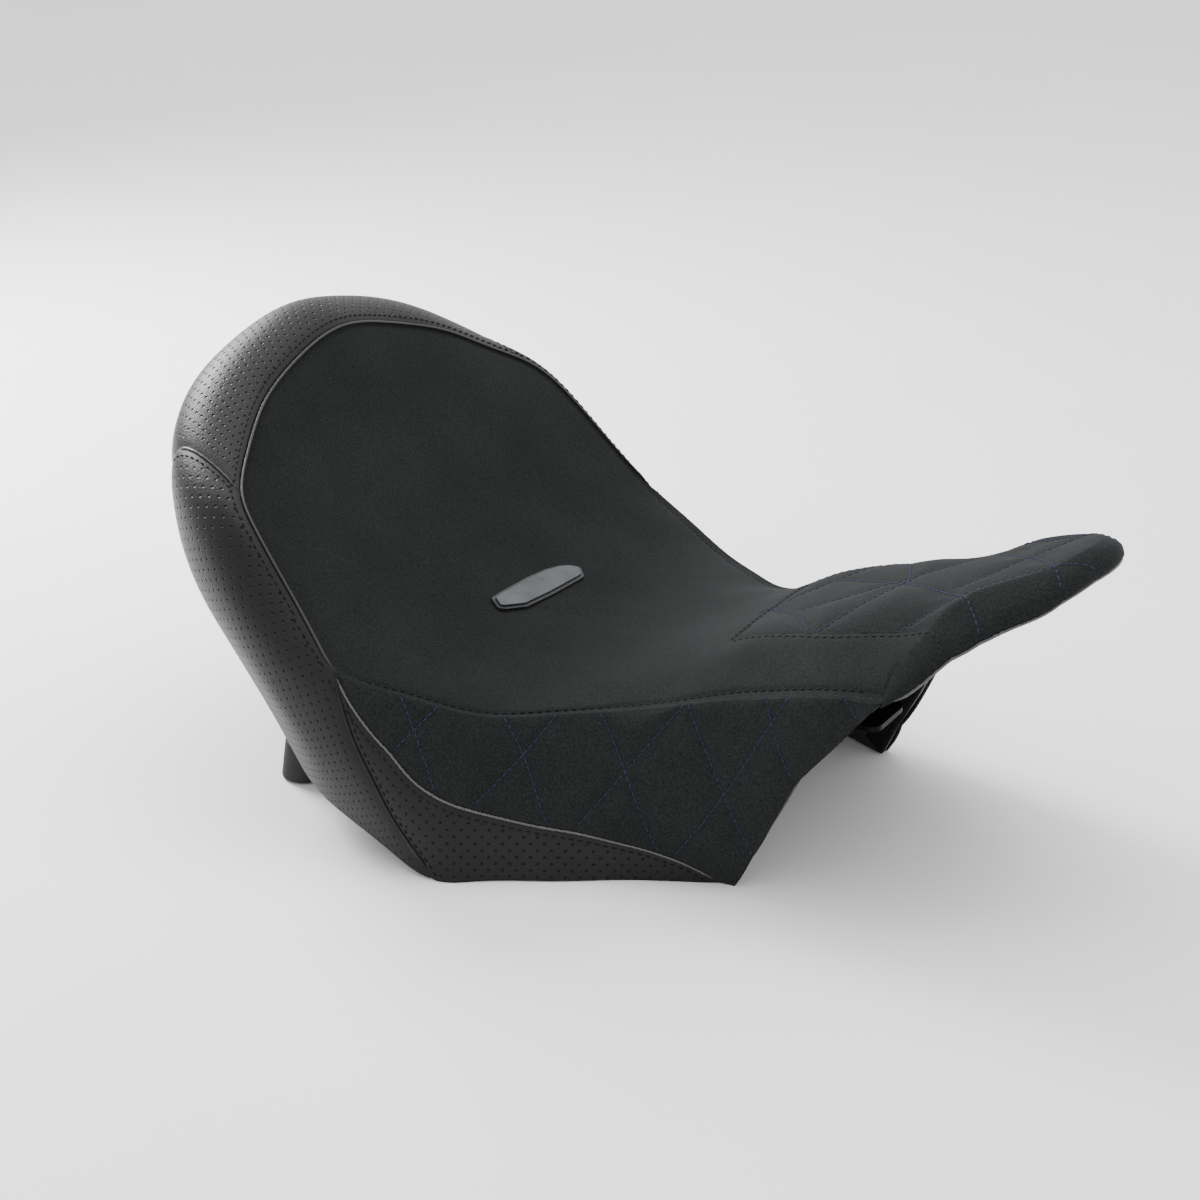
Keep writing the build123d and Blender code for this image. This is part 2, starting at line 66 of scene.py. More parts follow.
# Walls from the shoulder to the middle of the back: seam with the top, then down to the hem.
WALL = [
    ((184, 91, 121), (162, 91, 94), (139, 91, 65), (124, 91, 33), (107, 91, 0)),
    ((156, 92, 118), (141, 94, 93), (124, 96, 63), (110, 96, 32), (97, 95, 0)),
    ((131, 92, 112), (120, 96, 87), (108, 99, 58), (96, 101, 29), (85, 100, 0)),
    ((101, 93, 104), (93, 98, 80), (85, 103, 54), (77, 107, 27), (69, 108, 0)),
    ((70, 95, 94), (66, 102, 72), (61, 109, 48), (57, 115, 24), (53, 117, 0)),
    ((36, 98, 84), (34, 108, 64), (32, 119, 43), (30, 128, 21), (28, 134, 0)),
    ((12, 112, 82), (12, 122, 62), (12, 132, 42), (12, 139, 21), (12, 143, 0)),
    ((-22, 134, 82), (-19, 142, 62), (-16, 150, 42), (-12, 155, 21), (-9, 156, 0)),
    ((-56, 150, 91), (-50, 158, 69), (-43, 164, 46), (-35, 167, 23), (-27, 167, 0)),
    ((-90, 163, 102), (-88, 166.5, 94), (-84, 169, 80), (-75, 170.5, 56), (-63, 169, 31), (-51, 166, 7)),
    ((-106, 159, 117), (-108, 165, 113), (-108, 170, 103), (-103, 171.5, 82), (-88, 169, 48), (-71, 164, 15)),
    ((-128, 154, 141), (-134, 162, 139), (-137, 168, 130), (-135, 171, 110), (-117, 167, 66), (-95, 160, 22)),
    (
        (-151, 148, 165), (-159, 156, 165), (-166, 161, 157), (-169, 163, 136),
        (-147, 156, 82), (-118, 150, 27),
    ),
    (
        (-167, 138, 178), (-180, 144, 181), (-191, 148, 177), (-199, 149, 155),
        (-172, 144, 90), (-144, 132, 33),
    ),
    (
        (-178, 118, 189), (-192, 124, 193.5), (-207, 129, 192), (-217, 131, 182),
        (-221, 128, 166), (-193, 126, 92), (-160, 112, 38),
    ),
    (
        (-190, 90, 205), (-204, 95, 211), (-222, 98, 212), (-236, 98, 203),
        (-244, 94, 185), (-216, 91, 100), (-177, 88, 43),
    ),
    (
        (-196, 71, 212), (-209, 73, 220), (-227, 74, 222.5), (-244, 73, 213),
        (-254, 70, 194), (-223, 69, 103), (-188, 66, 47),
    ),
    (
        (-201, 37, 222), (-213, 37.5, 230), (-230, 37.5, 232.5), (-249, 37, 221),
        (-261, 36, 198), (-230, 36, 105), (-197, 34, 51),
    ),
    (
        (-202, 0, 229), (-214, 0, 236), (-231, 0, 238.5), (-251, 0, 225),
        (-264, 0, 200), (-233, 0, 105), (-200, 0, 52),
    ),
]
CORNER_STATION = 9  # where the side panel, the rim and the top meet
# Top sheet inside its edge.
CENTRE = [
    (-168, 180), (-130, 139), (-100, 111), (-71, 95.5), (-37, 86), (-10, 86), (12, 89), (36, 95.5),
    (60, 105), (91, 121.5), (120, 133), (158, 147.5), (195, 162), (215, 170.5), (235, 179), (247, 184.5),
]
FLANK = [
    (-168, 70, 180), (-130, 80, 140), (-100, 80, 111), (-71, 80, 96), (-37, 80, 86.5), (12, 70, 87),
    (36, 70, 91.5), (-71, 130, 96.5), (-130, 130, 141), (-100, 130, 111.5), (-151, 110, 164),
    (60, 80, 95), (60, 55, 101), (91, 58, 117.5), (120, 58, 128), (145, 58, 134), (165, 56, 139),
    (182, 50, 146.5), (158, 35, 146), (195, 32, 160), (215, 22, 169),
]

# Rows of the top sheet: from a place (x, y) on the rim to the x on the centre line that its row runs to.
SPINE = [
    (255, 0, 238), (184, 91, 158), (101, 93, 97), (36, 98, 36),
    (-56, 150, -60), (-90, 163, -92), (-167, 138, -150), (-202, 0, -184),
]

# Seams on the walls as (x, z): folded seam over the lower panel, and seam in front of the rim.
FOLD_SEAM = [
    (-90, 101), (-77, 84), (-65, 71), (-56, 63), (-47, 54), (-38, 47), (-25, 40), (-1, 32.5),
    (17, 27.5), (36, 24), (51, 21), (62, 18.5), (73, 15), (83, 11), (94, 4), (103, -3),
]
RIM_SEAM = [(-90, 101), (-84, 87), (-76, 69), (-64, 49), (-53, 31), (-41, 16), (-33, 6), (-28, -3)]
CROSS_SEAM_START, CROSS_SEAM_END = Vector((-167, 138, 178)), Vector((-222, 125, 192))
CROSS_SEAM_LEAN = Vector((0.25, 0.15, 0.95))
BACK_HALF_WIDTH, BACK_TOP = 78, 170
# Quilting on the sides as (x, z), and on the nose as (x, y), where lines cross the middle to -y.
SIDE_QUILTING = [
    [(-60, 95), (-48, 75), (-31, 43)],
    [(-14, 86), (2, 63), (19, 28)],
    [(26, 89), (51, 57), (72, 16)],
    [(77, 102), (104, 54), (117, 18)],
    [(121, 114), (127, 98), (138, 70)],
    [(163, 122), (173, 108)],
    [(-37, 91), (-48, 75), (-58, 62)],
    [(15, 87), (2, 63), (-17, 36)],
    [(81, 101), (51, 57), (29, 23)],
    [(137, 117), (127, 98), (104, 54), (78, 14)],
]
NOSE_QUILTING = [
    [(128, 58), (140, 36), (152, 10), (158, -6)],
    [(173, 56), (186, 44), (200, 39), (216, 32), (242, 25), (262, 18)],
    [(72, -4), (98, 22), (130, 58)],
    [(106, -24), (158, 7), (200, 39), (218, 56)],
    [(194, -26), (222, 2), (242, 25), (254, 40)],
]
NOSE_PANEL_REAR = 80
NOSE_PANEL_EDGE = [(80, 46), (96, 50), (113, 53), (146, 55), (175, 54), (194, 58), (210, 66)]

COVER = 2.2
HOLE_PITCH = 7.2
QUILT_RISE, QUILT_REACH = 3.8, 7.0
NOSE_RISE = 1.7
SEAM_RISE, SEAM_REACH = 1.5, 4.0
TOPSTITCH_INSET, TOPSTITCH_GROOVE = 5.0, 0.8
SEAM_SINK, SEAM_SINK_REACH = 1.6, 4.5  # how the saddle dips towards its sewn edge
CLOTH_SHARE = 0.45  # part of the cloth's outward movement that is added: at most 0.03 mm in the result
PRESSURE, FREE_FROM_SEAM, CLOTH_STEP = 5.0, 3, 4
EDGE_FADE = 20  # columns over which the sewn edge begins beside the nose
EDGE_ROUNDS, STEP_SHARE = 12, 0.6  # rounding of the nose's edge
WELD_DISTANCE = 0.004
PLATE_EASE = 4  # how far the top sheet may leave its given heights to stay smooth
WALL_COLUMNS, WALL_ROWS = 721, 97
NOSE_COLUMNS, NOSE_ROWS = 241, 13
TOP_ROWS = 97


# ------------------------------------------------------------------ curves and surfaces


def lengths(points):
    """Distance along a row of points, from 0."""
    steps = np.linalg.norm(np.diff(np.asarray(points, float), axis=0), axis=1)
    return np.concatenate([[0], np.cumsum(steps)])


def spline(points, knots, at):
    """Natural cubic spline through points, one a knot, read at other places."""
    p, h = np.asarray(points, float), np.diff(knots)
    n = len(p)
    a, b = np.eye(n), np.zeros((n, p.shape[1]))
    for i in range(1, n - 1):
        a[i, i - 1 : i + 2] = h[i - 1], 2 * (h[i - 1] + h[i]), h[i]
        b[i] = 3 * ((p[i + 1] - p[i]) / h[i] - (p[i] - p[i - 1]) / h[i - 1])
    c = np.linalg.solve(a, b)
    k = np.clip(np.searchsorted(knots, at, side="right") - 1, 0, n - 2)
    d, w = (at - knots[k])[:, None], h[k][:, None]
    slope = (p[k + 1] - p[k]) / w - w * (2 * c[k] + c[k + 1]) / 3
    return p[k] + slope * d + c[k] * d**2 + (c[k + 1] - c[k]) / (3 * w) * d**3


def smooth(points, count):
    """Points evenly spread on a smooth curve through a few given ones."""
    knots = lengths(points)
    return spline(points, knots, np.linspace(0, knots[-1], count))


def strip(stations, columns, rows):
    """Grid through stations of one half and their mirror images, columns by rows."""
    half = np.array([smooth(s, rows) for s in stations])
    whole = np.concatenate([half, half[-2::-1] * [1, -1, 1]])
    knots = lengths(whole.mean(1))
    flat = spline(whole.reshape(len(whole), -1), knots, np.linspace(0, knots[-1], columns))
    return flat.reshape(columns, rows, 3)


def bent_plate(known, heights):
    """Smooth height function through known plan points."""
    known = np.asarray(known, float)

    def kernel(q):
        d = np.linalg.norm(q[:, None] - known[None], axis=2)
        return d**2 * np.log(np.maximum(d, 1e-9))

    n = len(known)
    a = np.zeros((n + 3, n + 3))
    a[:n, :n] = kernel(known) + PLATE_EASE * np.eye(n)
    a[:n, n], a[:n, n + 1 :] = 1, known
    a[n:, :n] = a[:n, n:].T
    weights = np.linalg.solve(a, np.concatenate([heights, np.zeros(3)]))
    return lambda q: kernel(q) @ weights[:n] + weights[n] + q @ weights[n + 1 :]


def normals_of(grid):
    """Unit normals of a grid, pointing to the side that its columns and rows turn to."""
    n = np.cross(np.gradient(grid, axis=0), np.gradient(grid, axis=1))
    size = np.linalg.norm(n, axis=2, keepdims=True)
    return n / np.maximum(size, 1e-9)


def distance(points, lines):
    """Distance from each flat point to the nearest of several polylines."""
    best = np.full(len(points), 1e9)
    for line in lines:
        line = np.asarray(line, float)
        for a, b in zip(line[:-1], line[1:]):
            t = np.clip((points - a) @ (b - a) / ((b - a) @ (b - a)), 0, 1)
            best = np.minimum(best, np.linalg.norm(points - a - t[:, None] * (b - a), axis=1))
    return best


def puff(away, rise, reach):
    """Height of stuffed cover at a distance away from its nearest seam."""
    return rise * (1 - np.exp(-away / reach))


def ripple(points, wavelength, seed):
    """Slow unevenness between -1 and 1, the same on each run."""
    turn = np.random.default_rng(seed)
    total = np.zeros(len(points))
    for _ in range(6):
        direction = turn.normal(size=3)
        direction *= 2 * math.pi / wavelength / np.linalg.norm(direction)
        total += np.sin(points @ direction + turn.uniform(0, 2 * math.pi))
    return total / 6


def triangles(columns, rows):
    """Triangles of a columns by rows grid."""
    i = np.arange(columns * rows).reshape(columns, rows)
    a, b, c, d = i[:-1, :-1], i[1:, :-1], i[1:, 1:], i[:-1, 1:]
    quads = np.stack([a, b, c, d], -1).reshape(-1, 4)
    return np.concatenate([quads[:, [0, 1, 2]], quads[:, [0, 2, 3]]])


def clip(data, faces, field):
    """The part of a triangle mesh where field, one value a vertex, is above 0."""
    inside = field[faces] > 0
    count = inside.sum(1)
    parts, cuts = [faces[count == 3]], []
    for wanted, odd in ((1, True), (2, False)):
        f, flags = faces[count == wanted], inside[count == wanted]
        start = np.argmax(flags == odd, axis=1)
        cuts.append((f[np.arange(len(f))[:, None], (start[:, None] + [0, 1, 2]) % 3], wanted))
    pairs = np.concatenate([np.concatenate([f[:, [0, 1]], f[:, [0, 2]]]) for f, _ in cuts])
    pairs.sort(axis=1)
    edges, back = np.unique(pairs, axis=0, return_inverse=True)
    back = back.ravel()
    a, b = edges[:, 0], edges[:, 1]
    t = (field[a] / (field[a] - field[b]))[:, None]
    data = np.concatenate([data, data[a] + t * (data[b] - data[a])])
    for f, wanted in cuts:
        ab, ac = back[: len(f)] + len(field), back[len(f) : 2 * len(f)] + len(field)
        back = back[2 * len(f) :]
        if wanted == 1:
            parts.append(np.stack([f[:, 0], ab, ac], 1))
        else:
            parts.append(np.stack([ab, f[:, 1], f[:, 2]], 1))
            parts.append(np.stack([ab, f[:, 2], ac], 1))
    return data, np.concatenate(parts)


def welded(data, faces):
    """The mesh without unused points and with points in the same place made one."""
    used, faces = np.unique(faces, return_inverse=True)
    data, faces = data[used], faces.reshape(-1, 3)
    cells = np.round(data[:, :3] / WELD_DISTANCE) + 0.0
    _, first, same = np.unique(cells, axis=0, return_index=True, return_inverse=True)
    faces = same.ravel()[faces]
    whole = (faces[:, 0] != faces[:, 1]) & (faces[:, 1] != faces[:, 2]) & (faces[:, 2] != faces[:, 0])
    return data[first], faces[whole]


def relaxed(vertices, faces, weight, rounds):
    """Vertices drawn towards the middle of their neighbours, as far as each one's weight lets them."""
    a, b = np.concatenate([faces[:, [0, 1]], faces[:, [1, 2]], faces[:, [2, 0]]]).T
    a, b = np.concatenate([a, b]), np.concatenate([b, a])
    count = np.maximum(np.bincount(a, minlength=len(vertices)), 1)
    for _ in range(rounds):
        total = np.stack([np.bincount(a, vertices[b, k], len(vertices)) for k in range(3)], 1)
        vertices = vertices + STEP_SHARE * weight * (total / count[:, None] - vertices)
    return vertices


def blown(grid, held, pressure):
    """Cloth simulation of a cover sheet on its foam: how far each point moves. held is 1 at stitching."""
    columns, rows = grid.shape[:2]
    index = np.arange(columns * rows).reshape(columns, rows)
    quads = np.stack([index[:-1, :-1], index[1:, :-1], index[1:, 1:], index[:-1, 1:]], -1).reshape(-1, 4)
    mesh = bpy.data.meshes.new("blown")
    mesh.from_pydata((grid.reshape(-1, 3) / 1000).tolist(), [], quads.tolist())
    obj = bpy.data.objects.new("blown", mesh)
    bpy.context.scene.collection.objects.link(obj)
    group = obj.vertex_groups.new(name="held")
    for i, w in enumerate(held.ravel()):
        group.add([i], float(w), "REPLACE")
    cloth = obj.modifiers.new("cloth", "CLOTH")
    settings = cloth.settings
    settings.quality, settings.mass = 5, 0.2
    settings.tension_stiffness = settings.compression_stiffness = settings.shear_stiffness = 15
    settings.bending_stiffness = 0.3
    settings.vertex_group_mass = "held"
    settings.use_pressure, settings.uniform_pressure_force = True, pressure
    settings.effector_weights.gravity = 0
    cloth.collision_settings.use_collision = False
    scene = bpy.context.scene
    for f in range(1, 21):
        scene.frame_set(f)
    shaped = obj.evaluated_get(bpy.context.evaluated_depsgraph_get())
    moved = np.zeros(columns * rows * 3, np.float32)
    shaped.data.vertices.foreach_get("co", moved)
    bpy.data.objects.remove(obj)
    scene.frame_set(1)
    return moved.reshape(columns, rows, 3).astype(float) * 1000 - grid


def spread(values, columns, rows):
    """A coarse grid of numbers read at the places of a finer one."""
    along = np.linspace(0, len(values) - 1, columns)
    i = np.minimum(along.astype(int), len(values) - 2)
    w = (along - i)[:, None]
    values = values[i] * (1 - w) + values[i + 1] * w
    along = np.linspace(0, values.shape[1] - 1, rows)
    j = np.minimum(along.astype(int), values.shape[1] - 2)
    w = (along - j)[None]
    return values[:, j] * (1 - w) + values[:, j + 1] * w


# ------------------------------------------------------------------ master surface

def eased(grid, reach, first):
    """The grid with its columns evened out along the row, from column first inwards on both halves."""
    at = np.arange(-3 * reach, 3 * reach + 1)
    weight = np.exp(-0.5 * (at / reach) ** 2)
    padded = np.pad(grid, ((3 * reach, 3 * reach), (0, 0), (0, 0)), mode="edge")
    even = sum(w * padded[k : k + len(grid)] for k, w in enumerate(weight / weight.sum()))
    column = np.minimum(np.arange(len(grid)), np.arange(len(grid))[::-1])
    share = np.clip((column - first) / 25, 0, 1)[:, None, None]
    return grid + share * (even - grid)


wall = strip(WALL, WALL_COLUMNS, WALL_ROWS)
corner = int(np.argmin(np.linalg.norm(wall[: WALL_COLUMNS // 2, 0] - WALL[CORNER_STATION][0], axis=1)))
wall = eased(wall, 9, corner - 5)
nose = strip(NOSE[::-1], NOSE_COLUMNS, NOSE_ROWS)
NOSE_MIDDLE = NOSE_COLUMNS // 2

# Rim of the top sheet: the nose and the wall share one ring of points with it.
nose_half = nose[NOSE_MIDDLE::-1, 0]
wall_half = wall[: WALL_COLUMNS // 2 + 1, 0]
ring = np.concatenate([nose_half, wall_half[1:]])
ring[[0, -1], 1] = 0
known = np.concatenate([ring[::6], [(x, 0, z) for x, z in CENTRE], FLANK]).astype(float)
known = np.concatenate([known, known[known[:, 1] > 0.01] * [1, -1, 1]])
height = bent_plate(known[:, :2], known[:, 2])
anchors = [int(np.argmin(np.linalg.norm(ring[:, :2] - (x, y), axis=1))) for x, y, _ in SPINE]
spine_x = np.interp(lengths(ring), lengths(ring)[anchors], [a[2] for a in SPINE])
spine = np.stack([spine_x, np.zeros(len(ring))], 1)
share = np.linspace(0, 1, TOP_ROWS)[None, :, None]
plan = spine[:, None] + share * (ring[:, None, :2] - spine[:, None])
rise = np.concatenate([height(block) for block in np.array_split(plan.reshape(-1, 2), 24)])
rise = rise.reshape(plan.shape[:2])
rise += (ring[:, 2] - rise[:, -1])[:, None] * share[..., 0] ** 6
top_half = np.concatenate([plan, rise[..., None]], 2)
top = np.concatenate([top_half[:, :0:-1] * [1, -1, 1], top_half], 1)

# Quilting and seams push the walls out.
wall_normal = normals_of(wall)
wall_normal *= np.sign((wall_normal[:, 40] * wall[:, 40] * [1, 1, 0]).sum())
flat = wall.reshape(-1, 3)
side_view = flat[:, [0, 2]]
fold_curve, rim_curve = smooth(FOLD_SEAM, 60), smooth(RIM_SEAM, 30)
quilt_curves = [smooth(line, 12) for line in SIDE_QUILTING]
fold_x, fold_z = np.append(-130, fold_curve[:, 0]), np.append(400, fold_curve[:, 1])
above_fold = flat[:, 2] - np.interp(flat[:, 0], fold_x, fold_z, right=-30)
rim_z, rim_x = np.append(rim_curve[::-1, 1], 400), np.append(rim_curve[::-1, 0], -190)
before_rim = flat[:, 0] - np.interp(flat[:, 2], rim_z, rim_x)
cross_normal = (CROSS_SEAM_END - CROSS_SEAM_START).cross(CROSS_SEAM_LEAN).normalized()
if cross_normal.z < 0:
    cross_normal.negate()
folded = flat * [1, 0, 1]
folded[:, 1] = abs(flat[:, 1])
over_cross = (folded - np.array(CROSS_SEAM_START)) @ np.array(cross_normal)
over_back = flat[:, 2] - BACK_TOP
within_back = BACK_HALF_WIDTH - abs(flat[:, 1])
behind = flat[:, 0] < -140
down = np.stack([lengths(column) for column in wall]).ravel()
seam_away = np.minimum(distance(side_view, [fold_curve]), down)
seam_away = np.where(above_fold < 0, np.minimum(seam_away, distance(side_view, [rim_curve])), seam_away)
rim_top_field = np.where(behind, np.minimum(over_cross, over_back), -1.0)
seam_away = np.where(behind & (over_back > -30), np.minimum(seam_away, abs(rim_top_field)), seam_away)
seam_away = np.where(behind & (over_back < 0), np.minimum(seam_away, abs(within_back)), seam_away)
quilt_away = distance(side_view, quilt_curves)
on_side = above_fold > 0
lift = np.where(
    on_side,
    puff(np.minimum(quilt_away, seam_away), QUILT_RISE, QUILT_REACH),
    puff(seam_away, SEAM_RISE, SEAM_REACH),
)
# The cloth hardly moves outward under this pressure, so the relief is nearly all the displacement above.
coarse = (slice(None, None, CLOTH_STEP), slice(None, None, CLOTH_STEP))
free = on_side & (np.minimum(quilt_away, seam_away) > FREE_FROM_SEAM)
held = np.where(free.reshape(WALL_COLUMNS, WALL_ROWS)[coarse], 0.0, 1.0)
held[[0, -1]] = held[:, [0, -1]] = 1
moved = blown(wall[coarse], held, PRESSURE)
out = np.clip((moved * wall_normal[coarse]).sum(2), 0, QUILT_RISE)
lift += CLOTH_SHARE * spread(out, WALL_COLUMNS, WALL_ROWS).ravel() * on_side
lift += 0.35 * ripple(flat, 70, 3) * np.clip(seam_away / 10, 0, 1)
wall_out = flat + wall_normal.reshape(-1, 3) * lift[:, None]

# The same on the top sheet and round the edge of the nose, which share their normals where they meet.
top_normal = normals_of(top)
top_normal *= np.sign(top_normal[..., 2:].sum())
nose_normal = normals_of(nose)
nose_normal *= np.sign(nose_normal[NOSE_MIDDLE, 4, 0])
TO_START, TO_END = slice(NOSE_MIDDLE, None, -1), slice(NOSE_MIDDLE, None)
for edge_row, inward, strip_columns in ((-1, -1, TO_START), (0, 1, TO_END)):
    shared = top_normal[: NOSE_MIDDLE + 1, edge_row] + nose_normal[strip_columns, 0]
    for k in range(7):
        w = 1 - k / 7
        row = edge_row + inward * k
        top_normal[: NOSE_MIDDLE + 1, row] += w * (shared - top_normal[: NOSE_MIDDLE + 1, row])
        nose_normal[strip_columns, k] += w * (shared - nose_normal[strip_columns, k])
top_normal[:, TOP_ROWS - 1] = top_normal[:, TOP_ROWS - 2] + top_normal[:, TOP_ROWS]
top_normal[[0, -1], :, 1] = 0
top_normal /= np.linalg.norm(top_normal, axis=2, keepdims=True)
nose_normal /= np.linalg.norm(nose_normal, axis=2, keepdims=True)
panel_curve = smooth(NOSE_PANEL_EDGE, 40)
nose_curves = [smooth(line, 14) for line in NOSE_QUILTING]
mirrored = [line * [1, -1] for line in nose_curves]


def inside_nose_panel(points):
    """How far inside the nose panel's seam each point is, below 0 outside it."""
    half = np.interp(points[:, 0], panel_curve[:, 0], panel_curve[:, 1])
    return np.minimum(half - abs(points[:, 1]), points[:, 0] - NOSE_PANEL_REAR)


def nose_lift(points, inside):
    """Height of the stuffing on the quilted nose and on the plain suede just outside it."""
    view = np.stack([points[:, 0], abs(points[:, 1])], 1)
    away = np.minimum(distance(view, nose_curves + mirrored), abs(inside))
    fade = np.clip(1 - abs(inside) / 60, 0, 1) ** 2
    plain = puff(abs(inside), NOSE_RISE, QUILT_REACH) * fade
    return np.where(inside > 0, puff(away, NOSE_RISE, QUILT_REACH), plain)


flat_top, flat_nose = top.reshape(-1, 3), nose.reshape(-1, 3)
on_nose, on_nose_edge = inside_nose_panel(flat_top), inside_nose_panel(flat_nose)
edge_run = np.stack([lengths(c) for c in top])
from_edge = np.minimum(edge_run, edge_run[:, -1:] - edge_run).ravel()
sewn = np.clip((np.arange(len(ring)) - NOSE_MIDDLE + EDGE_FADE) / EDGE_FADE, 0, 1)
sewn_top = np.repeat(sewn, top.shape[1])
lift = nose_lift(flat_top, on_nose) + 0.5 * ripple(flat_top, 110, 5) * np.clip(from_edge / 25, 0, 1)
lift -= SEAM_SINK * sewn_top * np.exp(-from_edge / SEAM_SINK_REACH)
column_at = np.repeat(np.arange(len(ring)), top.shape[1])
beside_skirt = (column_at > NOSE_MIDDLE) & (column_at < NOSE_MIDDLE + corner)
lift -= TOPSTITCH_GROOVE * beside_skirt * np.exp(-(((from_edge - TOPSTITCH_INSET) / 1.3) ** 2))
lift *= 1 - sewn_top * (1 - np.clip(from_edge / 2, 0, 1))
top_out = flat_top + top_normal.reshape(-1, 3) * lift[:, None]

from_tip = abs(np.arange(NOSE_COLUMNS) - NOSE_MIDDLE)
sewn_nose = np.repeat(np.clip((from_tip - NOSE_MIDDLE + EDGE_FADE) / EDGE_FADE, 0, 1), NOSE_ROWS)
run = np.stack([lengths(c) for c in nose])
lift = nose_lift(flat_nose, on_nose_edge) - SEAM_SINK * sewn_nose * np.exp(-run.ravel() / SEAM_SINK_REACH)
lift *= (1 - sewn_nose) * np.clip((run[:, -1:] - run).ravel() / 5, 0, 1)
nose_out = flat_nose + nose_normal.reshape(-1, 3) * lift[:, None]

# ------------------------------------------------------------------ materials


def link(tree, source, target):
    tree.links.new(source, target)


def node(tree, kind, inputs=None, **settings):
    """A node with its settings, whose inputs are numbers or other nodes' outputs."""
    made = tree.nodes.new(kind)
    for name, value in settings.items():
        setattr(made, name, value)
    for key, value in (inputs or {}).items():
        if isinstance(value, bpy.types.NodeSocket):
            link(tree, value, made.inputs[key])
        else:
            made.inputs[key].default_value = value
    return made


def ramp(tree, factor, *stops):
    """Colour ramp with (place, grey or colour) stops."""
    made = node(tree, "ShaderNodeValToRGB", {"Fac": factor})
    points = made.color_ramp.elements
    while len(points) < len(stops):
        points.new(0.5)
    for point, (place, colour) in zip(points, stops):
        colour = (colour,) * 3 if isinstance(colour, (int, float)) else colour
        point.position, point.color = place, (*colour, 1)
    return made.outputs["Color"]


def start(name, **values):
    """A new material, its tree, its shader with plain values, and coordinates in metres."""
    made = bpy.data.materials.new(name)
    made.use_nodes = True
    tree = made.node_tree
    shader = tree.nodes["Principled BSDF"]
    for key, value in values.items():
        shader.inputs[key.replace("_", " ")].default_value = value
    return made, tree, shader, node(tree, "ShaderNodeTexCoord").outputs["Object"]


def noise(tree, where, scale, detail=3.0, rough=0.6):
    inputs = {"Vector": where, "Scale": scale, "Detail": detail, "Roughness": rough}
    return node(tree, "ShaderNodeTexNoise", inputs).outputs["Fac"]


def vector_math(tree, operation, output, *inputs):
    return node(tree, "ShaderNodeVectorMath", dict(enumerate(inputs)), operation=operation).outputs[output]


def eased_range(tree, value, low, high, at_low, at_high):
    """A number that goes smoothly from at_low to at_high while value goes from low to high."""
    inputs = {"Value": value, 1: low, 2: high, 3: at_low, 4: at_high}
    return node(tree, "ShaderNodeMapRange", inputs, interpolation_type="SMOOTHSTEP").outputs[0]


def math_node(tree, operation, a, b=0.0, c=0.0):
    return node(tree, "ShaderNodeMath", {0: a, 1: b, 2: c}, operation=operation).outputs[0]


def bump(tree, shader, heights):
    """Bump from several (height, distance in metres, strength) layers."""
    last = None
    for height_socket, depth, strength in heights:
        inputs = {"Height": height_socket, "Distance": depth, "Strength": strength}
        if last is not None:
            inputs["Normal"] = last
        last = node(tree, "ShaderNodeBump", inputs).outputs["Normal"]
    link(tree, last, shader.inputs["Normal"])


def suede(name, dark, light, blue=1.0):
    """Brushed microfibre: a short nap that catches light at its edges, darker where it is stroked."""
    made, tree, shader, where = start(name, Roughness=0.92, Sheen_Weight=0.04, Sheen_Roughness=0.45)
    shader.inputs["Specular IOR Level"].default_value = 0.06
    shader.inputs["Sheen Tint"].default_value = (0.75, 0.8, 0.85 * blue, 1)
    stroked = noise(tree, where, 14.0, 4.0, 0.55)
    nap = noise(tree, where, 900.0, 4.0, 0.75)
    fibre = noise(tree, where, 2600.0, 2.0, 0.8)
    tone = ramp(tree, nap, (0.34, dark), (0.7, light))
    patch = ramp(tree, stroked, (0.3, 0.78), (0.7, 1.12))
    mixed = node(tree, "ShaderNodeMix", {0: 1.0, 6: tone, 7: patch}, data_type="RGBA", blend_type="MULTIPLY")
    link(tree, mixed.outputs[2], shader.inputs["Base Color"])
    link(tree, math_node(tree, "MULTIPLY_ADD", nap, 0.12, 0.84), shader.inputs["Roughness"])
    bump(tree, shader, [(stroked, 0.0012, 0.25), (nap, 0.0004, 0.5), (fibre, 0.00015, 0.5)])
    return made


